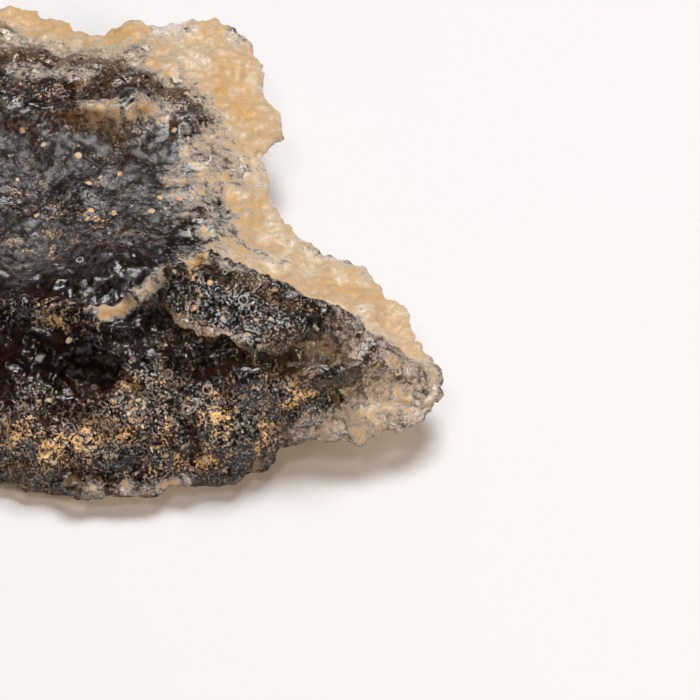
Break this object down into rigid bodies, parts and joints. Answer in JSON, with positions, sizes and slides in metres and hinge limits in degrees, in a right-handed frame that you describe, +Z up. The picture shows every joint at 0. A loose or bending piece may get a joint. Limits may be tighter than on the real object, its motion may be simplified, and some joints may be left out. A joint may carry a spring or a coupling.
{
  "type": "moldavite stone",
  "caption": "Rough thin-edged lump of dark smoky natural glass with a steep pitted face under a crest, a hollow back and a pointed pale wing.",
  "frame": {"origin": "on the table, under the middle of the stone's outline seen from above", "axes": "+Z up from the flat foot, +X towards the pointed wing, -Y towards the steep face under the crest"},
  "size_m": [0.0352, 0.0342, 0.0101],
  "materials": {
    "smoky_glass": "etched and dull, smoky brown where it is thin and near black where it is thick, with cream and ochre specks"
  },
  "bodies": {
    "root": {"moldavite_stone": "smoky_glass"}
  },
  "joints": []
}
